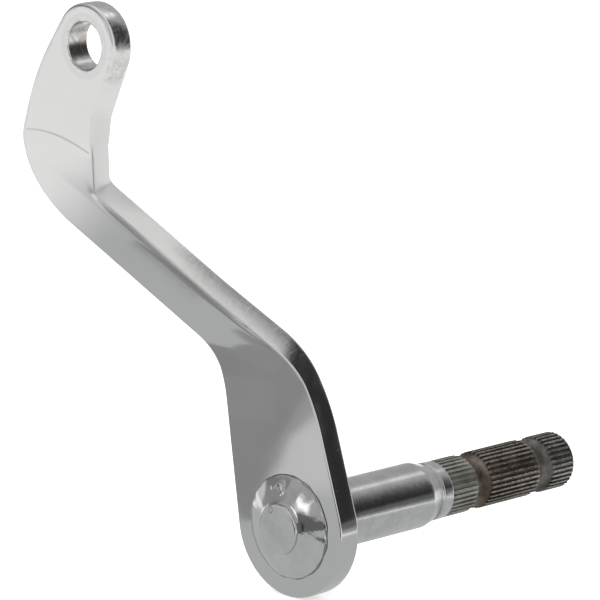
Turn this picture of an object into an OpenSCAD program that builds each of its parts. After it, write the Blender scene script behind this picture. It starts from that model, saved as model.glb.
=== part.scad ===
// Motorcycle gear shift lever: a joggled flat arm welded to a splined cross shaft.
// Frame: +Z up, the shaft runs along +Y from the arm. The origin is on the shaft's
// axis, in the plane of the arm's inner face, where the journal starts.

/* [Arm] */
// Thickness of the arm
arm_t = 6.1; // [5:0.05:7]
// Radius of the round end at the shaft
lobe_r = 16.9; // [16:0.1:18]
// Radius of the round end at the rod hole
eye_r = 9.9; // [9:0.1:11]
// Diameter of the rod hole
eye_bore_d = 11.1; // [8:0.1:12]
// Sideways distance from the shaft to the rod hole
eye_x = -41.5; // [-44:0.5:-39]
// Angle of the sloping middle of the arm from the plane of its ends
joggle_a = 27; // [15:1:30]
// Distance from the shaft's axis to the lower bend, along the middle of the plate
low_bend = 38.8; // [36:0.1:42]
// Distance between the two bends, along the middle of the plate
bend_gap = 54.4; // [50:0.1:58]
// Distance from the upper bend to the rod hole
eye_above_bend = 23; // [21:0.1:25]
// Chamfer along the arm's edges
arm_edge = 0.6; // [0.3:0.1:1]

/* [Shaft] */
// Diameter of the plated journal
journal_d = 15.875; // [15:0.005:17]
// Length of the journal
journal_l = 35; // [30:0.5:36]
// Diameter of the plated land beyond the journal's taper
land_d = 14.1; // [13.9:0.05:14.5]
// Outer diameter of the splines
spline_d = 13.9; // [13.5:0.05:14]
// Number of splines
teeth = 34; // [30:1:40]
// Depth of the splines
tooth_h = 0.55; // [0.4:0.05:0.8]
// Distance from the arm's inner face to the first spline
spline_y = 42.4; // [41:0.1:46]
// Distance from the arm's inner face to the shaft's end
shaft_end_y = 87.1; // [84:0.1:90]
// Distance from the arm's inner face to the middle of the first bolt groove
groove_y = 53.7; // [52:0.1:55]
// Distance between the two bolt grooves
groove_pitch = 22; // [20:0.5:23]
// Diameter of the pinch bolt that a groove clears
groove_bolt_d = 6.35; // [6:0.05:6.5]
// Depth of a bolt groove
groove_h = 1.4; // [1:0.1:1.6]

/* [Weld] */
// Diameter of the tenon that passes through the arm
tenon_d = 12; // [10:0.1:13]
// Height of the tenon's face above the arm's outer face
tenon_h = 4; // [3.8:0.1:5]
// Outer diameter of the domed weld ring
ring_d = 24.8; // [22:0.1:26]
// Height of the weld ring where it meets the tenon
ring_h = 3.3; // [2:0.1:3.6]

/* [Hidden] */
$fn = 96;

chrome = "gainsboro";
bare_steel = "dimgray";

// Developed outline of the arm: x is sideways, w is the distance from the shaft's axis
// along the middle of the plate. A corner is [x, w, radius].
left_corners = [[-22.4, 37.1, 27.5], [-67.8, 77.8, 20], [-59.9, 107.3, 55]];
right_corners = [[6.2, 36.5, 47], [-19.2, 57, 80], [-45.2, 80.2, 2],
                 [-39.3, 93, 6], [-38.4, 99.3, 8]];
lobe_c = [0, 0];
eye_c = [eye_x, low_bend + bend_gap + eye_above_bend];

// Radii of the two bends, at the middle of the plate
low_bend_r = 16;
high_bend_r = 8;

// Spacing of the arm's cross sections, and the steps of its round stretches
station_step = 1.25;
arc_steps = 12;
end_steps = 9;
end_first_a = 4;
end_last_a = 60;

// Small features of the shaft
taper_l = 3.6;
undercut_h = 0.1;
undercut_l = 0.8;
tenon_edge = 0.3;
end_chamfer = 1.7;
tooth_tip = 0.3;
tooth_root = 0.3;

// Small features of the weld ring: the height and width of its steep rim, and the
// width of the throat at the tenon
rim_h = 0.5;
rim_w = 0.4;
throat_w = 0.7;

// How far a cutter passes the face it cuts
over = 1;

// ---- Outline of the arm ----

// Angle of the line from one point to another
function heading(a, b) = atan2(b[1] - a[1], b[0] - a[0]);

// Angle between the line to a circle's centre and the line that touches the circle
function tangent_angle(c, r, p) = asin(r / norm([p[0] - c[0], p[1] - c[1]]));

// Headings of the straight stretches from the shaft end to the eye. The side is 1 on
// the left and -1 on the right.
function headings(corners, side) =
    let (first = corners[0], last = corners[len(corners) - 1])
    [heading(lobe_c, first) - side * tangent_angle(lobe_c, lobe_r, first),
     for (i = [1:1:len(corners) - 1]) heading(corners[i - 1], corners[i]),
     heading(last, eye_c) + side * tangent_angle(eye_c, eye_r, last)];

// Points of one rounded corner, moved into the plate by the inset
function corner_arc(c, h0, h1, side, inset) =
    let (turn = h1 - h0,
         bend = sign(turn),
         reach = c[2] * tan(abs(turn) / 2),
         centre = [c[0] - reach * cos(h0) - bend * c[2] * sin(h0),
                   c[1] - reach * sin(h0) + bend * c[2] * cos(h0)],
         r = c[2] + side * bend * inset)
    [for (i = [0:arc_steps])
        let (h = h0 + turn * i / arc_steps)
        centre + bend * r * [sin(h), -cos(h)]];

// Points of a round end, from one angle to another
function end_arc(c, r, a0, a1) =
    [for (i = [0:3 * arc_steps])
        let (a = a0 + (a1 - a0) * i / (3 * arc_steps))
        c + r * [cos(a), sin(a)]];

// One side of the outline, from the bottom of the shaft end to the top of the eye,
// as [w, x]
function side_line(corners, side, inset) =
    let (h = headings(corners, side),
         last = len(corners),
         points = concat(
             end_arc(lobe_c, lobe_r - inset, 90 + side * 180, h[0] + side * 90),
             [for (i = [0:last - 1])
                 each corner_arc(corners[i], h[i], h[i + 1], side, inset)],
             end_arc(eye_c, eye_r - inset, h[last] + side * 90, 90)))
    [for (p = points) [p[1], p[0]]];

// ---- Bends of the arm ----

half_low = low_bend_r * joggle_a * PI / 360;
half_high = high_bend_r * joggle_a * PI / 360;
low_start = low_bend - half_low;
low_end = low_bend + half_low;
high_start = low_bend + bend_gap - half_high;
high_end = low_bend + bend_gap + half_high;

// Slope of the plate at a developed distance
function slope(w) =
    joggle_a * (w < high_start ? min(max((w - low_start) / (low_end - low_start), 0), 1)
                               : max((high_end - w) / (high_end - high_start), 0));

// Place of the plate's middle at a developed distance, as [y, z]
function middle(w) =
    let (a = slope(w))
    w < low_start ? [-arm_t / 2, w] :
    w < low_end ?
        [-arm_t / 2 - low_bend_r * (1 - cos(a)), low_start + low_bend_r * sin(a)] :
    w < high_start ?
        middle(low_end - 0.001) + (w - low_end) * [-sin(a), cos(a)] :
    w < high_end ?
        middle(high_start - 0.001) + high_bend_r * [cos(joggle_a) - cos(a),
                                                    sin(joggle_a) - sin(a)] :
    middle(high_end - 0.001) + [0, w - high_end];

// Point of the bent plate, at a depth behind its middle
function on_plate(x, w, depth) =
    let (m = middle(w), a = slope(w))
    [x, m[0] + depth * cos(a), m[1] + depth * sin(a)];

// Developed distances of the cross sections
function stations(inset) =
    let (from = -lobe_r / 2 + station_step,
         to = eye_c[1] + eye_r / 2 - station_step,
         count = ceil((to - from) / station_step),
         a_step = (end_last_a - end_first_a) / end_steps)
    concat(
        [for (i = [0:end_steps])
            -(lobe_r - inset) * cos(end_first_a + i * a_step)],
        [for (i = [0:count]) from + (to - from) * i / count],
        [for (i = [end_steps:-1:0])
            eye_c[1] + (eye_r - inset) * cos(end_first_a + i * a_step)]);

// One long edge of the plate
function edge_loop(corners, side, inset, depth) =
    let (line = side_line(corners, side, inset))
    [for (w = stations(inset)) on_plate(lookup(w, line), w, depth)];

// The arm without its holes, as cross sections of eight points each
module plate() {
    half_t = arm_t / 2;
    loops = [[arm_edge, -half_t], [0, arm_edge - half_t],
             [0, half_t - arm_edge], [arm_edge, half_t]];
    n = len(stations(0));
    last = len(loops) - 1;
    points = [for (k = loops)
        each concat(edge_loop(left_corners, 1, k[0], k[1]),
                    edge_loop(right_corners, -1, k[0], k[1]))];
    function left(k, i) = 2 * k * n + i;
    function right(k, i) = (2 * k + 1) * n + i;
    outer = [for (i = [0:n - 2]) [left(0, i), left(0, i + 1), right(0, i + 1), right(0, i)]];
    inner = [for (i = [0:n - 2])
        [right(last, i), right(last, i + 1), left(last, i + 1), left(last, i)]];
    left_edge = [for (k = [0:last - 1], i = [0:n - 2])
        [left(k + 1, i), left(k + 1, i + 1), left(k, i + 1), left(k, i)]];
    right_edge = [for (k = [0:last - 1], i = [0:n - 2])
        [right(k, i), right(k, i + 1), right(k + 1, i + 1), right(k + 1, i)]];
    bottom = [for (k = [0:last - 1]) [left(k, 0), right(k, 0), right(k + 1, 0), left(k + 1, 0)]];
    top = [for (k = [0:last - 1])
        [right(k, n - 1), left(k, n - 1), left(k + 1, n - 1), right(k + 1, n - 1)]];
    polyhedron(points, concat(outer, inner, left_edge, right_edge, bottom, top), convexity = 6);
}

// ---- Sub-parts ----

// Turns a shape built along Z so that it runs along the shaft
module along_shaft() {
    rotate([-90, 0, 0]) children();
}

module lever_arm() {
    eye = middle(eye_c[1]);
    color(chrome) difference() {
        plate();
        translate([0, -arm_t - over, 0]) along_shaft()
            cylinder(d = tenon_d, h = arm_t + 2 * over);
        translate([eye_x, eye[0] - arm_t / 2 - over, eye[1]]) along_shaft()
            cylinder(d = eye_bore_d, h = arm_t + 2 * over);
    }
}

// Cross section of the splines, with four points to a tooth
module spline_section() {
    pitch = 360 / teeth;
    tip = spline_d / 2;
    root = tip - tooth_h;
    tooth = [[root, -0.5 - tooth_root / 2], [root, tooth_root / 2 - 0.5],
             [tip, -tooth_tip / 2], [tip, tooth_tip / 2]];
    polygon([for (i = [0:teeth - 1], p = tooth)
        p[0] * [cos((i + p[1]) * pitch), sin((i + p[1]) * pitch)]]);
}

// Ring that clears the pinch bolt
module bolt_groove(y) {
    r = groove_bolt_d / 2;
    translate([0, 0, y]) rotate_extrude()
        translate([spline_d / 2 - groove_h + r, 0]) circle(r);
}

module splined_shaft() {
    face_y = -arm_t - tenon_h;
    taper_end = journal_l + taper_l;
    land_r = land_d / 2;
    journal_r = journal_d / 2;
    tenon_r = tenon_d / 2;
    end_r = spline_d / 2 - end_chamfer;
    color(chrome) along_shaft() rotate_extrude() polygon([
        [0, face_y], [tenon_r - tenon_edge, face_y], [tenon_r, face_y + tenon_edge],
        [tenon_r, 0], [journal_r, 0], [journal_r, journal_l],
        [land_r - undercut_h, taper_end], [land_r - undercut_h, taper_end + undercut_l],
        [land_r, taper_end + undercut_l + undercut_h], [land_r, spline_y], [0, spline_y]]);
    color(bare_steel) along_shaft() difference() {
        intersection() {
            translate([0, 0, spline_y]) linear_extrude(shaft_end_y - spline_y) spline_section();
            rotate_extrude() polygon([
                [0, spline_y], [spline_d, spline_y],
                [spline_d, shaft_end_y - end_chamfer - spline_d / 2],
                [end_r, shaft_end_y], [0, shaft_end_y]]);
        }
        for (i = [0, 1]) bolt_groove(groove_y + i * groove_pitch);
    }
}

module weld_ring() {
    tenon_r = tenon_d / 2;
    ring_r = ring_d / 2;
    color(chrome) along_shaft() rotate_extrude() polygon([
        [tenon_r, -arm_t], [ring_r, -arm_t], [ring_r - rim_w, -arm_t - rim_h],
        [tenon_r + throat_w, -arm_t - ring_h + throat_w / 2], [tenon_r, -arm_t - ring_h]]);
}

lever_arm();
splined_shaft();
weld_ring();
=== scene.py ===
import math

import bpy
import numpy as np
from mathutils import Matrix, Vector
from mathutils.geometry import delaunay_2d_cdt


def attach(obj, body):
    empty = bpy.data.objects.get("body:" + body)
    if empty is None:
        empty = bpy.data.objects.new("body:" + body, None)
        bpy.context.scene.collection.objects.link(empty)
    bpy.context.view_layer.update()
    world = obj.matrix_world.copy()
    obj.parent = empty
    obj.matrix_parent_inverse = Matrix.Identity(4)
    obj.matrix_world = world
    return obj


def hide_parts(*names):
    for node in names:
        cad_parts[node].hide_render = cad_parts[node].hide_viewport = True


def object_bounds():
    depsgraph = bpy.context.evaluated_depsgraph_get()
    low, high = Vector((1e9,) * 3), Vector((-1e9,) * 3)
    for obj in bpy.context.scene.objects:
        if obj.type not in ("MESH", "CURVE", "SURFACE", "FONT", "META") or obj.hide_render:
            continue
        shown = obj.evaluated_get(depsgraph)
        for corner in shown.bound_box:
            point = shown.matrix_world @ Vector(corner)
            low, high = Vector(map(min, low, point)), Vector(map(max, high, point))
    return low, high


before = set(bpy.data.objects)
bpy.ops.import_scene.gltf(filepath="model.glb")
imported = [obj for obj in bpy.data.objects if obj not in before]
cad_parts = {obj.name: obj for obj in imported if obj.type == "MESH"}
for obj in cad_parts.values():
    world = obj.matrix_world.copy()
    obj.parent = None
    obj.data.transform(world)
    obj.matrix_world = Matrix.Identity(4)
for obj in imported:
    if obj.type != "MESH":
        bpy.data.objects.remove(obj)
cad_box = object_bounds()
MM = 0.001
QUARTER = math.pi / 2

# Every length below is in millimetres, in the CAD model's frame. The arm is drawn as
# developed points (x, w): w is the distance along the plate from the shaft's axis.

# ---- Arm: plate outline and bends ----
ARM_T = 6.1
HALF_T = ARM_T / 2
LOBE_C = np.array([0.0, 0.0])
LOBE_R = 16.9
EYE_R = 9.9
EYE_HOLE_R = 5.55
JOGGLE = math.radians(27)
LOW_BEND = 38.8
HIGH_BEND = LOW_BEND + 54.4
LOW_R = 20.0
HIGH_R = 8.0
EYE_C = np.array([-41.5, HIGH_BEND + 23.0])
EYE_Z = 110.47
# corners of the outline as (x, w, radius), from the shaft's end up
KINK = (-45.2, 80.2, 2)
LEFT = [(-22.4, 37.1, 27.5), (-67.8, 77.8, 20), (-59.9, 107.3, 55)]
RIGHT = [(6.2, 36.5, 47), (-19.2, 57, 80), KINK, (-39.3, 93, 6), (-38.4, 99.3, 8)]
# a line up the plate that parts its left side from its right side, as w and x
MIDDLE_LINE = ([0, 37, 79, 95, 140], [0, -10, -56, -50, -41.5])

# ---- Arm: edges ----
RIM_STEP = 0.6          # distance between the points of the outline
CREASE = 0.03           # distance between the two points at the kink
FLAT_POINTS = 5         # points that share one normal on each side of the kink
EDGE_R = 1.0            # rounding of the back edge
EDGE_R_FRONT = 0.35     # rounding of the front edge along the lobe and the bar
EDGE_R_EYE = 0.9        # rounding of the front edge around the eye
EDGE_R_PAD = 0.8        # rounding of the front edge at the pad's right side
EDGE_STEPS = 7
CROWN = 0.08            # how far the middle of the edge face stands out
CROWN_A = math.radians(4)
BEVEL_W = 2.8           # soft bevel along the bar's upper ridge
BEVEL_A = math.radians(26)
HOLE_EDGE_R = 0.35
HOLE_POINTS = 96
FACE_STEP = 0.7
FACE_STEP_BEND = 0.4
FACE_GAP = 0.4          # least distance from a face's inner points to its rim
# directions that polishing gave to the right edge face, along the bar and along the pad
BAR_NORMAL = (0.641, 0.768)
PAD_NORMAL = (0.985, -0.173)
SOFTENING = 90          # rounds of smoothing of the bar's normals
TWIST = math.radians(5)

# places on the "flow" map, whose v is the depth in the plate plus one of these
EDGE_V = 200
HOLE_V = 400

# ---- Shaft ----
TENON_R = 6.0
TENON_Y = -ARM_T - 4.0
TENON_EDGE = 0.3
JOURNAL_R = 15.875 / 2
JOURNAL_L = 35.0
LAND_R = 7.05
UNDERCUT_H = 0.1
TAPER_END = 38.6
SPLINE_Y = 42.4
SHAFT_END = 87.1
END_CHAMFER = 1.7
SPLINE_R = 6.95
TEETH = 34
TOOTH_H = 0.55
TOOTH_POINTS = 24
TOOTH_FLANK = (0.30, 0.70)      # where a flank starts and ends, from tip to root
GROOVES = (53.7, 75.7)
GROOVE_R = 6.35 / 2
GROOVE_H = 1.4
AXIS_R = 0.02                   # radius left open at the middle of an end face

# the holes through the plate
HOLES = ((LOBE_C, TENON_R), (EYE_C, EYE_HOLE_R))

# ---- Weld ring ----
RING_R = 12.4
RING_H = 3.3
RING_POINTS = 360
RING_STEPS = 22
RIM_H = 0.55                    # height of the ring's rim, where its slope starts
RIM_W = 0.42
TOP_DROP = 0.42                 # height from the slope's end to the ring's top
PIT = (-1.6, 9.3)
SEAM = 0.02                     # how far the ring's ends pass the tenon's radius


def heading(a, b):
    """Angle of the line from one point to another."""
    return math.atan2(b[1] - a[1], b[0] - a[0])


def tangent_angle(c, r, p):
    """Angle at a point between a circle's centre and the line that touches the circle."""
    return math.asin(r / math.hypot(p[0] - c[0], p[1] - c[1]))


def arc(c, r, a0, a1, step):
    """Points of an arc, about a step apart."""
    n = max(2, int(abs(a1 - a0) * max(r, 1) / step))
    a = np.linspace(a0, a1, n + 1)
    return c + r * np.stack([np.cos(a), np.sin(a)], 1)


def corner(c, h0, h1, step):
    """Rounded corner as points."""
    turn = h1 - h0
    bend = math.copysign(1, turn)
    reach = c[2] * math.tan(abs(turn) / 2)
    centre = np.array([c[0] - reach * math.cos(h0) - bend * c[2] * math.sin(h0),
                       c[1] - reach * math.sin(h0) + bend * c[2] * math.cos(h0)])
    n = max(2, int(abs(turn) * c[2] / step))
    h = h0 + turn * np.arange(n + 1) / n
    return centre + bend * c[2] * np.stack([np.sin(h), -np.cos(h)], 1)


def side(corners, s, step):
    """One side of the developed outline, from the shaft end to the eye."""
    first, last = corners[0], corners[-1]
    h = [heading(LOBE_C, first) - s * tangent_angle(LOBE_C, LOBE_R, first)]
    h += [heading(corners[i - 1], corners[i]) for i in range(1, len(corners))]
    h += [heading(last, EYE_C) + s * tangent_angle(EYE_C, EYE_R, last)]
    parts = [arc(LOBE_C, LOBE_R, -QUARTER if s < 0 else 3 * QUARTER, h[0] + s * QUARTER, step)]
    parts += [corner(c, h[i], h[i + 1], step) for i, c in enumerate(corners)]
    parts += [arc(EYE_C, EYE_R, h[-1] + s * QUARTER, QUARTER, step)]
    return np.concatenate(parts)


def outline(step):
    """The whole developed outline, counter-clockwise, evenly stepped."""
    pts = np.concatenate([side(RIGHT, -1, step / 2), side(LEFT, 1, step / 2)[::-1]])
    keep = np.hypot(*(pts - np.roll(pts, 1, 0)).T) > 1e-6
    pts = pts[keep]
    loop = np.concatenate([pts, pts[:1]])
    s = np.concatenate([[0], np.cumsum(np.hypot(*np.diff(loop, axis=0).T))])
    n = int(s[-1] / step)
    t = np.linspace(0, s[-1], n, endpoint=False)
    return np.stack([np.interp(t, s, loop[:, 0]), np.interp(t, s, loop[:, 1])], 1), t


def slope(w):
    """Angle of the plate to the shaft end's plane."""
    half_low, half_high = LOW_R * JOGGLE / 2, HIGH_R * JOGGLE / 2
    up = np.clip((w - (LOW_BEND - half_low)) / (2 * half_low), 0, 1)
    down = np.clip((w - (HIGH_BEND - half_high)) / (2 * half_high), 0, 1)
    return JOGGLE * (up - down)


# the plate's middle, summed in short steps along w
FOLD_STEP = 0.02
FOLD_W = np.arange(-30, 140, FOLD_STEP)
FOLD_A = slope(FOLD_W)
FOLD_Y = -HALF_T - np.concatenate([[0], np.cumsum(np.sin(FOLD_A[:-1]) * FOLD_STEP)])
FOLD_Z = FOLD_W[0] + np.concatenate([[0], np.cumsum(np.cos(FOLD_A[:-1]) * FOLD_STEP)])


def fold(p, depth):
    """Points of the bent plate. p is developed (x, w) and depth is behind the middle."""
    w = p[:, 1]
    a = slope(w)
    y = np.interp(w, FOLD_W, FOLD_Y) + depth * np.cos(a)
    z = np.interp(w, FOLD_W, FOLD_Z) + depth * np.sin(a)
    return np.stack([p[:, 0], y, z], 1)


def fold_normal(p, n):
    """Normals given in the plate's own (x, w, depth) directions, turned with the bends."""
    a = slope(p[:, 1])
    return np.stack([n[:, 0],
                     -n[:, 1] * np.sin(a) + n[:, 2] * np.cos(a),
                     n[:, 1] * np.cos(a) + n[:, 2] * np.sin(a)], 1)


def nearest(p, loop):
    """Distance from each point to a closed polyline, and the place of the nearest point."""
    a = loop
    ab = np.roll(loop, -1, 0) - a
    dist, at = np.empty(len(p)), np.empty(len(p))
    for i in range(0, len(p), 400):
        q = p[i:i + 400, None, :]
        t = np.clip(((q - a) * ab).sum(2) / (ab * ab).sum(1), 0, 1)
        d = np.sqrt((((q - a) - t[..., None] * ab) ** 2).sum(2))
        k = d.argmin(1)
        row = np.arange(len(k))
        dist[i:i + 400] = d[row, k]
        at[i:i + 400] = k + t[row, k]
    return dist, at


def inside(p, loop):
    """Which points lie inside a closed polyline."""
    x, y = p[:, 0][:, None], p[:, 1][:, None]
    x0, y0 = loop[:, 0], loop[:, 1]
    x1, y1 = np.roll(x0, -1), np.roll(y0, -1)
    cross = (y0 > y) != (y1 > y)
    at = x0 + (y - y0) / np.where(y1 == y0, 1e-12, y1 - y0) * (x1 - x0)
    return ((cross & (x < at)).sum(1) % 2) == 1


def make(name, verts, faces, flow, normals=None):
    """A smooth mesh object from arrays in millimetres, with its "flow" map."""
    mesh = bpy.data.meshes.new(name)
    places = [tuple(v) for v in np.asarray(verts) * MM]
    mesh.from_pydata(places, [], [tuple(int(i) for i in f) for f in faces])
    mesh.update()
    mesh.polygons.foreach_set("use_smooth", [True] * len(mesh.polygons))
    layer = mesh.uv_layers.new(name="flow")
    index = np.zeros(len(mesh.loops), np.int32)
    mesh.loops.foreach_get("vertex_index", index)
    layer.data.foreach_set("uv", np.asarray(flow, np.float32)[index].ravel())
    if normals is not None:
        mesh.normals_split_custom_set_from_vertices([tuple(v) for v in unit(normals)])
    obj = bpy.data.objects.new(name, mesh)
    bpy.context.scene.collection.objects.link(obj)
    return obj


def loop_normals(loop):
    """Outward normals of a counter-clockwise loop."""
    t = unit(np.roll(loop, -1, 0) - np.roll(loop, 1, 0))
    return np.stack([t[:, 1], -t[:, 0]], 1)


def ramp(v, a, b):
    """Smooth rise from 0 at a to 1 at b, which may be the lower one."""
    t = np.clip((v - a) / (b - a), 0, 1)
    return t * t * (3 - 2 * t)


def unit(v):
    return v / np.linalg.norm(v, axis=1)[:, None]


class Plate:
    """Vertices, normals, flow map and faces of the bent plate, added a row at a time."""

    def __init__(self):
        self.verts, self.normals, self.flow, self.faces = [], [], [], []

    def add(self, p, depth, normal, flow):
        """Adds points and returns the index of the first."""
        start = sum(len(v) for v in self.verts)
        self.verts.append(fold(p, depth))
        self.normals.append(fold_normal(p, normal))
        self.flow.append(flow)
        return start

    def join(self, starts, count, inward=False):
        """Joins closed rows of points, from front to back."""
        for a, b in zip(starts, starts[1:]):
            for i in range(count):
                j = (i + 1) % count
                quad = (a + i, b + i, b + j, a + j)
                self.faces.append((quad[0], *quad[:0:-1]) if inward else quad)


def rim_loop():
    """The outline, its distances and normals, and the index of the kink's first point."""
    rim, s = outline(RIM_STEP)
    normal = loop_normals(rim)
    kink = np.argmin(np.hypot(*(rim - np.array(KINK[:2])).T))
    along = unit(rim[[kink + 1]] - rim[[kink]])[0] * CREASE / 2
    rim = np.insert(rim, kink + 1, rim[kink] + along, axis=0)
    rim[kink] = rim[kink] - along
    s = np.insert(s, kink + 1, s[kink] + CREASE)
    normal = np.insert(normal, kink + 1, normal[kink], axis=0)
    return rim, s, normal, kink


def shading_normals(w, normal, kink, right):
    """The outline's normals for shading: even along the bar and the pad, flat up to the
    kink, and easing early into the long curve at the bar's lower end."""
    n = normal.copy()
    n[kink - FLAT_POINTS:kink + 1] = normal[kink - FLAT_POINTS]
    n[kink + 1:kink + 2 + FLAT_POINTS] = normal[kink + 1 + FLAT_POINTS]
    above = np.arange(len(w)) > kink
    n[right & (w > 44.5) & ~above] = BAR_NORMAL
    pad = ((right & above) * ramp(w, 114, 109))[:, None]
    n = unit(n * (1 - pad) + np.array(PAD_NORMAL) * pad)
    soft = n.copy()
    for _ in range(SOFTENING):
        soft = unit(soft * 2 + np.roll(soft, 1, 0) + np.roll(soft, -1, 0))
    use = (right * ramp(w, 18, 30) * ramp(w, 74, 66))[:, None]
    return unit(n * (1 - use) + soft * use)


def edge_rows(front_r, bevel):
    """Rows round the edge from front to back, each as inset, depth and tilt."""
    none = 0 * front_r
    sink = bevel * BEVEL_A * BEVEL_W / 4
    turn = QUARTER - CROWN_A
    rows = []
    for part in np.linspace(0, 1, EDGE_STEPS + 1):
        t = turn * part
        inset = CROWN + front_r * (1 - math.sin(t))
        depth = sink - HALF_T + front_r * (1 - math.cos(t))
        rows.append((inset, depth, t + bevel * BEVEL_A * (1 - part)))
    low, high = rows[-1][1], HALF_T - EDGE_R
    for part in np.linspace(0, 1, 10)[1:-1]:
        across = 2 * part - 1
        tilt = QUARTER + CROWN_A * across + none
        rows.append((CROWN * across ** 2 + none, low + (high - low) * part, tilt))
    for part in np.linspace(0, 1, EDGE_STEPS + 1):
        t = QUARTER + CROWN_A + turn * part
        inset = CROWN + EDGE_R * (1 - math.sin(t)) + none
        rows.append((inset, HALF_T - EDGE_R * (1 + math.cos(t)) + none, t + none))
    return rows


def add_edge(plate, rim, s, normal, shade, right, rows):
    """Adds the edge face, whose shading is twisted through the thickness along the bar."""
    w = rim[:, 1]
    twist = right * ramp(w, 66, 54) * ramp(w, 10, 30) * TWIST
    starts = []
    for inset, depth, tilt in rows:
        turn = -twist * np.clip(0.5 + depth / (ARM_T - EDGE_R), 0, 1)
        cos, sin = np.cos(turn), np.sin(turn)
        out = np.stack([shade[:, 0] * cos - shade[:, 1] * sin,
                        shade[:, 0] * sin + shade[:, 1] * cos], 1)
        n = np.concatenate([out * np.sin(tilt)[:, None], -np.cos(tilt)[:, None]], 1)
        place = rim - normal * inset[:, None]
        starts.append(plate.add(place, depth, n, np.stack([s, depth + EDGE_V], 1)))
    plate.join(starts, len(rim))
    return starts


def add_hole(plate, c, r):
    """Adds a hole with rounded edges, and returns its rows and its outline on a face."""
    a = np.linspace(0, 2 * math.pi, HOLE_POINTS, endpoint=False)
    u = np.stack([np.cos(a), np.sin(a)], 1)
    rounding = []
    for t in np.linspace(0, QUARTER, 5):
        depth = -HALF_T + HOLE_EDGE_R * (1 - math.cos(t))
        rounding.append((HOLE_EDGE_R * (1 - math.sin(t)), depth, t))
    rows = rounding + [(0.0, d, QUARTER) for d in (-1.5, 0, 1.5)]
    rows += [(grow, -depth, math.pi - t) for grow, depth, t in rounding[::-1]]
    starts = []
    for grow, depth, t in rows:
        level = np.full(len(u), depth)
        n = np.concatenate([-u * math.sin(t), np.full((len(u), 1), -math.cos(t))], 1)
        starts.append(plate.add(c + u * (r + grow), level, n, np.stack([a * r, level + HOLE_V], 1)))
    plate.join(starts, len(u), inward=True)
    return starts, c + u * (r + HOLE_EDGE_R)


def face_grid():
    """Points all over the plate's box, closer together at the bends."""
    rows = []
    w = -LOBE_R
    while w < EYE_C[1] + EYE_R:
        at_bend = abs(w - LOW_BEND) < 6 or abs(w - HIGH_BEND) < 4
        w += FACE_STEP_BEND if at_bend else FACE_STEP
        rows.append(w)
    return np.array([(x, w) for i, w in enumerate(rows)
                     for x in np.arange(-70 + FACE_STEP / 2 * (i % 2), 19, FACE_STEP)])


def fill(rim, holes, grid):
    """Triangles between a rim and its holes, over the grid's points that lie between."""
    ok = inside(grid, rim)
    ok[ok] &= nearest(grid[ok], rim)[0] > FACE_GAP
    for c, r in HOLES:
        ok &= np.hypot(*(grid - c).T) > r + HOLE_EDGE_R + FACE_GAP
    inner = grid[ok]
    edges, base = [], 0
    for loop in (rim, *holes):
        edges += [(base + i, base + (i + 1) % len(loop)) for i in range(len(loop))]
        base += len(loop)
    points = [Vector(q) for q in np.concatenate([rim, *holes, inner])]
    out = delaunay_2d_cdt(points, edges, [], 0, 1e-5)
    tri = np.array(out[2])
    centre = np.array([[v.x, v.y] for v in out[0]])[tri].mean(1)
    ok = inside(centre, rim)
    for c, r in HOLES:
        ok &= np.hypot(*(centre - c).T) > r + HOLE_EDGE_R * 0.9
    origin = np.array([o[0] for o in out[3]])
    return inner, origin[tri[ok]]


def bevelled(points, rim, shade, bevel):
    """Depth and normals of the front face's points: flat, but for the bar's bevel."""
    d, at = nearest(points, rim)
    k = at.astype(int) % len(rim)
    after = (k + 1) % len(rim)
    part = (at - at.astype(int))[:, None]
    amount = bevel[k] * (1 - part[:, 0]) + bevel[after] * part[:, 0]
    out = unit(shade[k] * (1 - part) + shade[after] * part)
    q = np.clip(1 - d / BEVEL_W, 0, 1)
    depth = -HALF_T + amount * BEVEL_A * BEVEL_W * (q ** 3 - q ** 4 / 2) / 2
    tilt = amount * BEVEL_A * q * q * (3 - 2 * q)
    return depth, np.concatenate([out * np.sin(tilt)[:, None], -np.cos(tilt)[:, None]], 1)


def build_arm():
    rim, s, normal, kink = rim_loop()
    w = rim[:, 1]
    right = rim[:, 0] > np.interp(w, *MIDDLE_LINE)
    shade = shading_normals(w, normal, kink, right)
    front_r = EDGE_R_FRONT + (EDGE_R_EYE - EDGE_R_FRONT) * ramp(w, 91, 99)
    front_r = front_r + right * ramp(w, 92, 99) * ramp(w, 114, 102) * (EDGE_R_PAD - front_r)
    bevel = right * ramp(w, 42, 52) * ramp(w, 84, 76)
    rows = edge_rows(front_r, bevel)
    plate = Plate()
    edge = add_edge(plate, rim, s, normal, shade, right, rows)
    holes = [add_hole(plate, c, r) for c, r in HOLES]
    grid = face_grid()
    for row in (0, -1):
        loop = rim - normal * rows[row][0][:, None]
        inner, tri = fill(loop, [ends for starts, ends in holes], grid)
        if row == 0:
            depth, n = bevelled(inner, loop, shade, bevel)
        else:
            depth, n = np.full(len(inner), HALF_T), np.tile([0.0, 0.0, 1.0], (len(inner), 1))
        start = plate.add(inner, depth, n, inner)
        index = [np.arange(len(rim)) + edge[row]]
        index += [np.arange(HOLE_POINTS) + starts[row] for starts, ends in holes]
        index += [np.arange(len(inner)) + start]
        f = np.concatenate(index)[tri]
        plate.faces += [tuple(q) for q in (f if row == 0 else f[:, ::-1])]
    return make("arm_body", np.concatenate(plate.verts), plate.faces, np.concatenate(plate.flow),
                np.concatenate(plate.normals))


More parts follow.
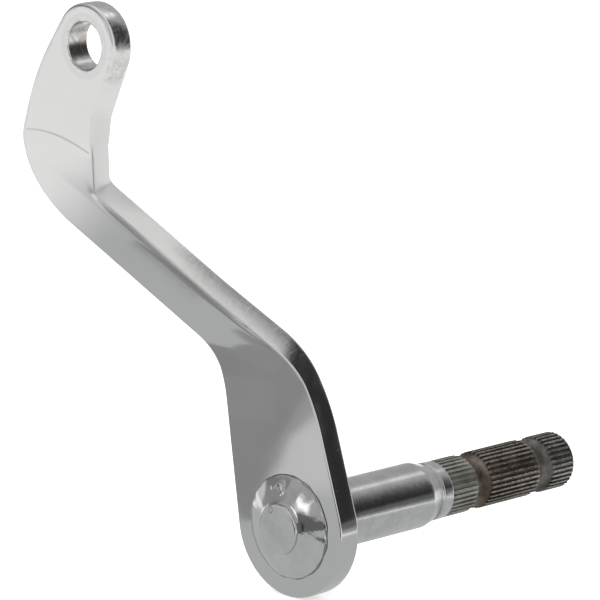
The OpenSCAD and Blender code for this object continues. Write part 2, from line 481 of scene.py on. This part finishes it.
def revolve(rows, n):
    """A surface turned about Y. Rows are a level and a radius, numbers or arrays."""
    a = np.linspace(0, 2 * math.pi, n, endpoint=False)
    verts, flow = [], []
    for y, r in rows:
        rr, yy = np.broadcast_to(r, (n,)), np.broadcast_to(y, (n,))
        verts.append(np.stack([rr * np.cos(a), yy, rr * np.sin(a)], 1))
        flow.append(np.stack([a * 7, yy], 1))
    faces = []
    for k in range(len(rows) - 1):
        for i in range(n):
            j = (i + 1) % n
            faces.append((k * n + i, k * n + j, (k + 1) * n + j, (k + 1) * n + i))
    return np.concatenate(verts), faces, np.concatenate(flow)


def tooth_radius(a):
    """Radius over the splines at each angle: flat tips and roots with sloped, rounded flanks."""
    u = (a / (2 * math.pi) * TEETH) % 1.0
    from_tip = np.abs(u - 0.5) * 2
    return SPLINE_R - TOOTH_H * ramp(from_tip, *TOOTH_FLANK)


def plain_rows():
    """The tenon, journal, taper and land."""
    rows = [(TENON_Y, r) for r in (AXIS_R, 2.0, 4.0, TENON_R - 0.5)]
    for t in np.linspace(0, QUARTER, 5):
        y = TENON_Y + TENON_EDGE * (1 - math.cos(t))
        rows.append((y, TENON_R - TENON_EDGE * (1 - math.sin(t))))
    rows += [(TENON_Y + 1, TENON_R), (-0.2, TENON_R), (0, TENON_R), (0, TENON_R + 0.3)]
    rows += [(0, JOURNAL_R - 0.15), (0.15, JOURNAL_R)]
    rows += [(y, JOURNAL_R) for y in np.linspace(0.5, JOURNAL_L - 0.35, 40)]
    rows += [(JOURNAL_L, JOURNAL_R - 0.03), (JOURNAL_L + 0.15, JOURNAL_R - 0.1)]
    rows += [(TAPER_END - 0.15, LAND_R + 0.02), (TAPER_END, LAND_R - UNDERCUT_H)]
    rows += [(TAPER_END + 0.8, LAND_R - UNDERCUT_H), (TAPER_END + 0.9, LAND_R)]
    rows += [(SPLINE_Y - 0.4, LAND_R), (SPLINE_Y - 0.12, LAND_R - 0.02), (SPLINE_Y, LAND_R - 0.12)]
    return rows


def spline_rows(n):
    """The splined end with its two bolt grooves and its chamfer."""
    tooth = tooth_radius(np.linspace(0, 2 * math.pi, n, endpoint=False))
    y = SPLINE_Y + 0.08
    rows = [(SPLINE_Y, LAND_R - 0.12), (SPLINE_Y, np.minimum(tooth, LAND_R - 0.14)), (y, tooth)]
    axis_r = SPLINE_R - GROOVE_H + GROOVE_R
    for g in GROOVES:
        half = np.sqrt(GROOVE_R ** 2 - (axis_r - tooth) ** 2)
        rows += [(y + (g - half - y) * t, tooth) for t in np.linspace(0, 1, 12)[1:]]
        for t in np.linspace(-1, 1, 25)[1:]:
            rise = np.sqrt(np.maximum(GROOVE_R ** 2 - (half * t) ** 2, 0))
            rows.append((g + half * t, axis_r - rise))
        y = g + half
    chamfer_y = SHAFT_END - END_CHAMFER
    dent_shade = SPLINE_R - tooth
    rows += [(y + (chamfer_y - dent_shade - y) * t, tooth) for t in np.linspace(0, 1, 12)[1:-1]]
    for t in np.linspace(0, 1, 6):
        r = tooth + (SPLINE_R - END_CHAMFER - tooth) * t
        rows.append((chamfer_y + SPLINE_R - r, r))
    return rows + [(SHAFT_END, r) for r in (4.6, 3.0, 1.5, AXIS_R)]


def build_shaft():
    """The plain part and the splined end, with quads turned over to face outward."""
    verts, faces, flow = [], [], []
    fine = TEETH * TOOTH_POINTS
    for rows, n in ((plain_rows(), fine // 3), (spline_rows(fine), fine)):
        v, f, uv = revolve(rows, n)
        start = sum(len(k) for k in verts)
        faces += [tuple(start + i for i in q[::-1]) for q in f]
        verts.append(v)
        flow.append(uv)
    obj = make("shaft_body", np.concatenate(verts), faces, np.concatenate(flow))
    obj.data.set_sharp_from_angle(angle=math.radians(40))
    return obj


def build_ring():
    """The weld ring: a wavy edge, an uneven slope, and a pit with a raised lip."""
    a = np.linspace(0, 2 * math.pi, RING_POINTS, endpoint=False)
    rng = np.random.default_rng(7)

    def wave(amount, harmonics):
        total = np.zeros(RING_POINTS)
        for h in harmonics:
            total += rng.normal() * np.cos(h * a + rng.uniform(0, 6.28)) / len(harmonics) ** 0.5
        return amount * total

    edge = wave(0.10, range(3, 26))
    lift = wave(0.05, range(2, 9))
    slope_r, slope_h = RING_R - RIM_W, RING_H - TOP_DROP - RIM_H
    profile = [(0.0, RING_R - 0.15), (0.12, RING_R - 0.02), (0.32, RING_R - 0.12), (RIM_H, slope_r)]
    for k in range(1, RING_STEPS + 1):
        t = k / RING_STEPS
        height = RIM_H + slope_h * (t + 0.10 * math.sin(math.pi * t))
        profile.append((height, slope_r - (slope_r - TENON_R - 0.75) * t))
    profile += [(RING_H - 0.30, TENON_R + 0.5), (RING_H - 0.15, TENON_R + 0.28), (RING_H, TENON_R + SEAM)]
    rows = [(-ARM_T, RING_R - 0.4)]
    for height, r in profile:
        t = (RING_R - r) / (RING_R - TENON_R)
        swell = lift * math.sin(math.pi * min(max(t, 0), 1))
        rows.append((-ARM_T - height - swell, r + edge * (1 - t) ** 2))
    rows += [(-ARM_T - RING_H + 0.2, TENON_R - SEAM)]
    v, f, flow = revolve(rows, RING_POINTS)
    du, dv = (v[:, 0] - PIT[0]) / 1.25, (v[:, 2] - PIT[1]) / 0.8
    d = np.sqrt(du ** 2 + dv ** 2) * (1 + 0.25 * np.sin(3 * np.arctan2(dv, du) + 1))
    hollow, lip = np.exp(-d ** 2 / 0.35), np.exp(-(d - 1.25) ** 2 / 0.10)
    v[:, 1] += 0.30 * hollow - 0.16 * lip
    obj = make("weld_bead", v, f, flow)
    obj.data.set_sharp_from_angle(angle=math.radians(50))
    return obj


# ---- Materials ----
class Sock:
    """A socket that can be used in sums."""

    def __init__(self, tree, socket):
        self.tree, self.s = tree, socket

    def op(self, kind, *others):
        node = self.tree.nodes.new("ShaderNodeMath")
        node.operation = kind
        for i, other in enumerate((self,) + others):
            if isinstance(other, Sock):
                self.tree.links.new(other.s, node.inputs[i])
            else:
                node.inputs[i].default_value = other
        return Sock(self.tree, node.outputs[0])

    def __add__(self, other):
        return self.op("ADD", other)

    def __sub__(self, other):
        return self.op("SUBTRACT", other)

    def __mul__(self, other):
        return self.op("MULTIPLY", other)

    def __truediv__(self, other):
        return self.op("DIVIDE", other)

    __radd__ = __add__

    def step(self, a, b, low=0.0, high=1.0):
        """Smooth change from low at a to high at b, which may be the lower one."""
        node = self.tree.nodes.new("ShaderNodeMapRange")
        node.interpolation_type = "SMOOTHSTEP"
        self.tree.links.new(self.s, node.inputs["Value"])
        for name, value in (("From Min", a), ("From Max", b), ("To Min", low), ("To Max", high)):
            node.inputs[name].default_value = value
        return Sock(self.tree, node.outputs["Result"])


def length(*parts):
    total = parts[0] * parts[0]
    for part in parts[1:]:
        total = total + part * part
    return total.op("SQRT")


def mix(tree, factor, a, b):
    """Mix of two colours, which are sockets or RGB values."""
    node = tree.nodes.new("ShaderNodeMix")
    node.data_type = "RGBA"
    tree.links.new(factor.s, node.inputs[0])
    for value, place in ((a, 6), (b, 7)):
        if isinstance(value, Sock):
            tree.links.new(value.s, node.inputs[place])
        else:
            node.inputs[place].default_value = (*value, 1)
    return Sock(tree, node.outputs[2])


def grey(value):
    return (value, value, value)


def material(name):
    mat = bpy.data.materials.new(name)
    mat.use_nodes = True
    return mat, mat.node_tree, mat.node_tree.nodes["Principled BSDF"]


def metal(name):
    mat, tree, bsdf = material(name)
    bsdf.inputs["Metallic"].default_value = 1.0
    return mat, tree, bsdf


def object_coords(tree):
    return tree.nodes.new("ShaderNodeTexCoord").outputs["Object"]


def flow_coords(tree):
    node = tree.nodes.new("ShaderNodeUVMap")
    node.uv_map = "flow"
    return node.outputs[0]


def stretched(tree, vector, scale, turn=0.0):
    node = tree.nodes.new("ShaderNodeMapping")
    node.inputs["Scale"].default_value = scale
    node.inputs["Rotation"].default_value = (0, 0, turn)
    tree.links.new(vector, node.inputs[0])
    return node.outputs[0]


def split(tree, vector):
    node = tree.nodes.new("ShaderNodeSeparateXYZ")
    tree.links.new(vector, node.inputs[0])
    return [Sock(tree, o) for o in node.outputs]


def places(tree):
    """The point's x, y and z in millimetres."""
    return [k * 1000.0 for k in split(tree, object_coords(tree))]


def noise(tree, vector, scale, detail=3, rough=0.5, distortion=0.0):
    node = tree.nodes.new("ShaderNodeTexNoise")
    for name, value in (("Scale", scale), ("Detail", detail), ("Roughness", rough),
                        ("Distortion", distortion)):
        node.inputs[name].default_value = value
    tree.links.new(vector, node.inputs["Vector"])
    return Sock(tree, node.outputs["Fac"])


def bump(tree, height, strength, distance, normal=None):
    node = tree.nodes.new("ShaderNodeBump")
    node.inputs["Strength"].default_value = strength
    node.inputs["Distance"].default_value = distance
    tree.links.new(height.s, node.inputs["Height"])
    if normal is not None:
        tree.links.new(normal, node.inputs["Normal"])
    return node.outputs["Normal"]


def finish_metal(tree, bsdf, colour, rough, normal):
    tree.links.new(colour.s, bsdf.inputs["Base Color"])
    tree.links.new(rough.s, bsdf.inputs["Roughness"])
    tree.links.new(normal, bsdf.inputs["Normal"])


def chrome_arm():
    mat, tree, bsdf = metal("arm_chrome")
    u, v, _ = split(tree, flow_coords(tree))
    x, y, z = places(tree)
    face = v.step(EDGE_V - 50, EDGE_V - 51)
    in_hole = v.step(HOLE_V - 50, HOLE_V - 49)
    on_edge = v.step(EDGE_V - 51, EDGE_V - 50) * v.step(HOLE_V - 49, HOLE_V - 50)
    from_eye = length(x - EYE_C[0], z - EYE_Z)
    where = object_coords(tree)
    cloud = noise(tree, where, 60, 3, 0.55)
    blotch = noise(tree, where, 420, 4, 0.6, 0.8)
    fine = noise(tree, where, 900, 2, 0.5)
    hair = noise(tree, stretched(tree, flow_coords(tree), (6.0, 0.18, 1)), 1.0, 3, 0.65)
    colour = mix(tree, cloud.step(0.35, 0.65), (0.598, 0.606, 0.600), (0.618, 0.624, 0.618))
    # painted reflection: a soft darker ring round the eye on the face, standing in for the reflection of
    # the face's slight bow there; and a brownish film inside the hole
    eye_ring_reflection = face * from_eye.step(8.2, 7.2) * z.step(90.0, 95.0)
    colour = mix(tree, eye_ring_reflection * 0.55, colour, (0.52, 0.53, 0.535))
    film = in_hole * z.step(60.0, 70.0) * blotch.step(0.42, 0.62)
    colour = mix(tree, film * 0.7, colour, (0.36, 0.31, 0.28))
    # tarnish on the edge beside the eye
    beside_eye = on_edge * z.step(101.0, 104.0) * z.step(109.0, 106.0) * x.step(-35.0, -33.5)
    colour = mix(tree, beside_eye * blotch.step(0.45, 0.6) * 0.5, colour, (0.40, 0.36, 0.30))
    # painted shade: a darker line in a shallow arch along the upper bend's crease, over a shallow groove
    # in the bump
    crease_arch_gap = (v - ((u + 57.0) * (u + 57.0) * -0.0105 + 94.9)).op("ABSOLUTE")
    crease_line_and_shade = crease_arch_gap.step(0.30, 0.12) * face * u.step(-36.6, -38.0) * v.step(86.0, 88.0)
    colour = mix(tree, crease_line_and_shade * u.step(-66.0, -46.0, 0.35, 0.75), colour, (0.36, 0.37, 0.37))
    # painted reflection: a darker band along the bar's ridge, for the dark reflection in its bevel
    from_ridge = ((u - RIGHT[0][0]) * BAR_NORMAL[0] + (v - RIGHT[0][1]) * BAR_NORMAL[1]) * -1
    on_bar = face * v.step(40.0, 47.0) * v.step(88.0, 80.0) * u.step(0.0, -4.0)
    colour = mix(tree, on_bar * from_ridge.step(3.6, 1.6) * 0.45, colour, grey(0.42))
    # satin above the kink, small pits in the dark edge, and a cloudy edge by the eye
    satin = on_edge * z.step(68.0, 74.0) * z.step(100.0, 92.0) * x.step(-30.0, -33.0)
    speck = on_edge * z.step(52.0, 42.0) * fine.step(0.68, 0.80) * cloud.step(0.4, 0.6)
    cloudy = on_edge * z.step(96.0, 104.0) * blotch.step(0.35, 0.65, 0.06, 0.22)
    rough = cloud.step(0.3, 0.7, 0.08, 0.11) + on_edge * 0.02 + in_hole * 0.16
    rough = rough + satin * 0.2 + speck * 0.25 + cloudy
    # grain, the groove along the upper bend's crease, and hair-like polishing marks where the edge goes
    # dark
    normal = bump(tree, fine, 0.015, 0.0002)
    normal = bump(tree, crease_line_and_shade * -1, 0.3, 0.00003, normal)
    marked = on_edge * z.step(34.0, 44.0) * z.step(66.0, 54.0)
    normal = bump(tree, hair * (marked * 0.8 + on_edge * 0.03), 0.26, 0.0004, normal)
    finish_metal(tree, bsdf, colour, rough, normal)
    return mat


def chrome_weld():
    mat, tree, bsdf = metal("weld_chrome")
    where = object_coords(tree)
    cloud = noise(tree, where, 180, 3, 0.6)
    swirl = noise(tree, where, 420, 3, 0.6, 1.2)
    colour = mix(tree, cloud.step(0.35, 0.65), (0.57, 0.578, 0.575), (0.62, 0.626, 0.62))
    x, y, z = places(tree)
    # dark seam where the ring meets the arm
    seam = (length(x, z) + swirl * 0.5).step(12.28, 12.45)
    colour = mix(tree, seam * 0.75, colour, (0.16, 0.16, 0.155))
    normal = bump(tree, cloud, 0.16, 0.0005)
    normal = bump(tree, swirl, 0.08, 0.0002, normal)
    finish_metal(tree, bsdf, colour, cloud.step(0.3, 0.7, 0.06, 0.13), normal)
    return mat


def shaft_metal():
    mat, tree, bsdf = metal("shaft_steel")
    x, y, z = places(tree)
    bare = y.step(SPLINE_Y - 0.3, SPLINE_Y + 0.1)
    plated = y.step(SPLINE_Y + 0.1, SPLINE_Y - 0.3)
    # the splines before the first groove, between the grooves, and after the second
    brown_zone = y.step(51.5, 53.5) * y.step(74.5, 72.5)
    end_zone = y.step(73.0, 75.0)
    where = object_coords(tree)
    ground = noise(tree, stretched(tree, flow_coords(tree), (0.9, 3.6, 1), 0.45), 1.0, 4, 0.65)
    cloud = noise(tree, where, 250, 4, 0.6)
    grain = noise(tree, where, 1400, 3, 0.6)
    patchy = cloud.step(0.35, 0.7)
    chrome = mix(tree, cloud.step(0.35, 0.65), (0.53, 0.54, 0.535), (0.60, 0.605, 0.60))
    first = mix(tree, patchy, (0.25, 0.25, 0.22), (0.42, 0.42, 0.39))
    brown = mix(tree, patchy, (0.085, 0.066, 0.05), (0.20, 0.17, 0.14))
    end = mix(tree, patchy, (0.085, 0.082, 0.074), (0.20, 0.195, 0.18))
    colour = mix(tree, end_zone, mix(tree, brown_zone, first, brown), end)
    # tips of the splines, worn bright
    worn = length(x, z).step(6.68, 6.92) * grain.step(0.35, 0.6)
    colour = mix(tree, worn * 0.55, colour, (0.50, 0.49, 0.46))
    colour = mix(tree, bare, chrome, colour)
    # painted shade: a small dark ring on the tenon's face, for the shade of a small dent there
    dent_shade = length(x + 2.1, (z - 4.4) * 0.7)
    dent_shade = dent_shade.step(0.72, 0.6) * dent_shade.step(0.36, 0.46) * y.step(-9.9, -10.0)
    colour = mix(tree, dent_shade * 0.7, colour, grey(0.24))
    rough = bare * (0.33 + grain * 0.2) + plated * ground.step(0.3, 0.7, 0.05, 0.10)
    normal = bump(tree, ground * plated * y.step(-1.0, 0.5), 0.16, 0.0003)
    normal = bump(tree, grain * bare, 0.5, 0.0002, normal)
    finish_metal(tree, bsdf, colour, rough, normal)
    return mat


# ---- Pieces ----
for piece, node, slot, mat in ((build_arm(), "lever_arm", "arm_chrome", chrome_arm()),
                               (build_shaft(), "splined_shaft", "shaft_steel", shaft_metal()),
                               (build_ring(), "weld_ring", "weld_chrome", chrome_weld())):
    piece.data.materials.append(mat)
    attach(piece, "root")
    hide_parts(node)


# ---- Floor, reflected cards, light and camera ----
# Directions of the light are given as an azimuth, where 0 is towards -Y and 90 towards
# +X, and an elevation, both in degrees.
FLOOR_SIZE = 6.0        # half of the floor's width, in metres


def floor_mesh(name):
    """A large square under the object."""
    s, low = FLOOR_SIZE, cad_box[0][2]
    mesh = bpy.data.meshes.new(name)
    mesh.from_pydata([(-s, -s, low), (s, -s, low), (s, s, low), (-s, s, low)], [], [(0, 1, 2, 3)])
    obj = bpy.data.objects.new(name, mesh)
    bpy.context.scene.collection.objects.link(obj)
    return obj


def build_floor():
    """Plain pale paper. The card below takes its place in reflections."""
    floor = floor_mesh("floor")
    mat, tree, bsdf = material("floor_paper")
    paper = noise(tree, object_coords(tree), 6, 2, 0.5)
    colour = mix(tree, paper.step(0.3, 0.7), grey(0.93), grey(0.95))
    tree.links.new(colour.s, bsdf.inputs["Base Color"])
    bsdf.inputs["Roughness"].default_value = 0.9
    bsdf.inputs["Specular IOR Level"].default_value = 0.1
    bsdf.inputs["Emission Color"].default_value = (1, 1, 1, 1)
    bsdf.inputs["Emission Strength"].default_value = 0.4
    floor.data.materials.append(mat)
    floor.visible_glossy = False


def glow_material(name):
    mat, tree, bsdf = material(name)
    tree.nodes.remove(bsdf)
    glow = tree.nodes.new("ShaderNodeEmission")
    return mat, tree, glow, tree.nodes["Material Output"].inputs["Surface"]


def only_reflected(obj):
    """Leaves an object visible in reflections only."""
    obj.visible_camera = False
    obj.visible_diffuse = False
    obj.visible_transmission = False
    obj.visible_volume_scatter = False
    obj.visible_shadow = False


def off_azimuth(x, y, flat, azimuth):
    """Degrees between a level direction and an azimuth."""
    azimuth = math.radians(azimuth)
    cos = (x * math.sin(azimuth) + y * -math.cos(azimuth)) / flat
    return cos.op("MINIMUM", 0.99999).op("MAXIMUM", -0.99999).op("ARCCOSINE") * (180 / math.pi)


def build_card():
    """A card in the floor's place: pale, and greyer close to the object's lower end."""
    card = floor_mesh("card")
    mat, tree, glow, surface = glow_material("card")
    tree.links.new(glow.outputs[0], surface)
    x, y, _ = places(tree)
    from_shaft = length(x, y)
    pale = length(x + 45, y + 10).step(95, 135) * length(x - 35, y - 25).step(45, 65)
    shade = mix(tree, pale, (0.61, 0.614, 0.618), (1.16, 1.16, 1.15))
    # a lane towards the front left, and the dim far side behind the lobe's edge
    lane = off_azimuth(x, y, from_shaft + 0.01, -40).step(10, 5)
    lane = lane * from_shaft.step(95, 115) * from_shaft.step(420, 300)
    shade = mix(tree, lane, shade, grey(0.80))
    far = off_azimuth(x, y, from_shaft + 0.01, 136).step(17, 11) * from_shaft.step(560, 800)
    shade = mix(tree, far, shade, grey(0.25))
    tree.links.new(shade.s, glow.inputs["Color"])
    card.data.materials.append(mat)
    only_reflected(card)


def flag(name, corners, soft, value):
    """A grey card seen only in reflections. Its corners are in millimetres, and soft is
    half the width of the edge over which it fades."""
    corners = np.array(corners, float)
    away = unit(corners - corners.mean(0)) * soft
    n = len(corners)
    mesh = bpy.data.meshes.new(name)
    verts = np.concatenate([corners - away, corners + away]) * MM
    border = [(i, (i + 1) % n, n + (i + 1) % n, n + i) for i in range(n)]
    mesh.from_pydata([tuple(v) for v in verts], [], [tuple(range(n))] + border)
    weight = mesh.attributes.new("weight", "FLOAT", "POINT")
    weight.data.foreach_set("value", [1.0] * n + [0.0] * n)
    mat, tree, glow, surface = glow_material(name)
    glow.inputs["Color"].default_value = (*grey(value), 1)
    clear = tree.nodes.new("ShaderNodeBsdfTransparent")
    both = tree.nodes.new("ShaderNodeMixShader")
    stored = tree.nodes.new("ShaderNodeAttribute")
    stored.attribute_name = "weight"
    amount = Sock(tree, stored.outputs["Fac"]).step(0.0, 1.0)
    for source, socket in ((amount.s, both.inputs[0]), (clear.outputs[0], both.inputs[1]),
                           (glow.outputs[0], both.inputs[2]), (both.outputs[0], surface)):
        tree.links.new(source, socket)
    mesh.materials.append(mat)
    obj = bpy.data.objects.new(name, mesh)
    bpy.context.scene.collection.objects.link(obj)
    only_reflected(obj)


build_floor()
build_card()
# in front of the lobe's left half, with a slanted and rounded end
flag("flag_lobe", [(-75, -31, 30), (-42, -64, 30), (-46, -60, 14), (-47, -59, 9), (-50, -56, 5),
                   (-52, -54, -3), (-55, -51, -12), (-56, -50, -21), (-59, -47, -16), (-61, -45, -12),
                   (-75, -31, 3)], 2.5, 0.36)
# below the weld ring's and the tenon's horizon
flag("flag_ring", [(-38, -70, -30), (90, -70, -30), (90, -70, 11), (-38, -70, 11)], 4, 0.16)
flag("flag_disc", [(-22, -69, -24), (-4, -69, -24), (-4, -69, -3), (-22, -69, -3)], 3, 0.02)
# behind the lobe's right edge, for its foot and the journal
flag("flag_right", [(30, 76, -4), (76, 30, -4), (76, 30, 8), (30, 76, 8)], 3, 0.17)
flag("flag_right_low", [(30, 76, -9), (76, 30, -9), (76, 30, -3), (30, 76, -3)], 2, 0.42)
# in front of the bar's bevel, its front rounding and its foot
flag("flag_bar", [(-88, -65, 23), (-58, -51, -4), (-20, -65, 31), (-51, -79, 58)], 4, 0.46)
flag("flag_ridge", [(-38, -33, 60), (-10, -22, 36), (1, -26, 51), (-27, -37.5, 73)], 1.5, 0.85)
flag("flag_wedge", [(-31, -14.5, 20), (-16, -17, 20), (-16, -17, 30), (-31, -14.5, 30)], 1.2, 0.38)

# Patches of the light around: azimuth, its half width, the softness of that, the lower
# and upper elevation, the softness of each, and the value
PATCHES = (
    (62, 26, 8, -10, 62, 2, 3, 1.0),        # right: bright wall
    (-62, 24, 14, 3, 30, 4, 6, 0.26),       # left front: dim wall over the horizon
    (-100, 20, 12, -2, 10, 3, 5, 0.75),     # left: low pale wall
    (-30, 10, 8, 22, 40, 5, 5, 0.5),        # left front: above the dim wall
    (-12, 7, 6, 9, 22, 4, 5, 1.7),          # front: bright window
)
DARK_PATCH = (128, 20, 5, -5, 65, 0.6, 1.5)         # right and behind: up to the overhead light
STRIP_PATCH = (178, 6, 6, 47, 56, 2, 3)             # behind: bright strip
PLAIN_LIGHT = 1.3       # what surfaces that aren't glossy receive


def build_world():
    world = bpy.data.worlds.new("studio")
    bpy.context.scene.world = world
    world.use_nodes = True
    tree = world.node_tree
    direction = tree.nodes.new("ShaderNodeTexCoord").outputs["Generated"]
    dx, dy, dz = split(tree, direction)
    elevation = dz.op("ARCSINE") * (180 / math.pi)
    flat = (dx * dx + dy * dy + 1e-6).op("SQRT")

    def patch(light, azimuth, half, soft, low, high, soft_low, soft_high, value):
        amount = off_azimuth(dx, dy, flat, azimuth).step(half + soft, half)
        amount = amount * elevation.step(low - soft_low, low + soft_low)
        amount = amount * elevation.step(high + soft_high, high - soft_high)
        return mix(tree, amount, light, value)

    light = mix(tree, elevation.step(44, 62), grey(0.50), (1.02, 1.02, 1.01))
    for *where, value in PATCHES:
        light = patch(light, *where, grey(value))
    mottled = noise(tree, direction, 9, 3, 0.6).step(0.45, 0.75)
    light = patch(light, *DARK_PATCH, mix(tree, mottled, grey(0.028), (0.08, 0.081, 0.078)))
    light = patch(light, *STRIP_PATCH, grey(1.8))
    path = tree.nodes.new("ShaderNodeLightPath")
    light = mix(tree, Sock(tree, path.outputs["Is Glossy Ray"]), grey(PLAIN_LIGHT), light)
    tree.links.new(light.s, tree.nodes["Background"].inputs["Color"])


build_world()
scene = bpy.context.scene
scene.view_settings.view_transform = "Standard"

# The camera looks from the photo's angle, at a point that lies AIM_RIGHT and AIM_UP, as
# the camera sees it, of the middle of the lobe's front face
AZIMUTH, ELEVATION = math.radians(44.8), math.radians(11.8)
DISTANCE = 1040.944
AIM_RIGHT, AIM_UP = 2.498, 52.417
SENSOR = 36.0
LENS = 270.0

back = Vector((math.sin(AZIMUTH) * math.cos(ELEVATION), -math.cos(AZIMUTH) * math.cos(ELEVATION),
               math.sin(ELEVATION)))
right = Vector((math.cos(AZIMUTH), math.sin(AZIMUTH), 0))
up = back.cross(right)
place = (Vector((0, -ARM_T, 0)) + DISTANCE * back + AIM_RIGHT * right + AIM_UP * up) * MM
cam_data = bpy.data.cameras.new("camera")
cam_data.sensor_width = SENSOR
cam_data.lens = LENS
cam_data.clip_start = 0.01
camera = bpy.data.objects.new("camera", cam_data)
scene.collection.objects.link(camera)
camera.matrix_world = Matrix.Translation(place) @ Matrix((right, up, back)).transposed().to_4x4()
scene.camera = camera
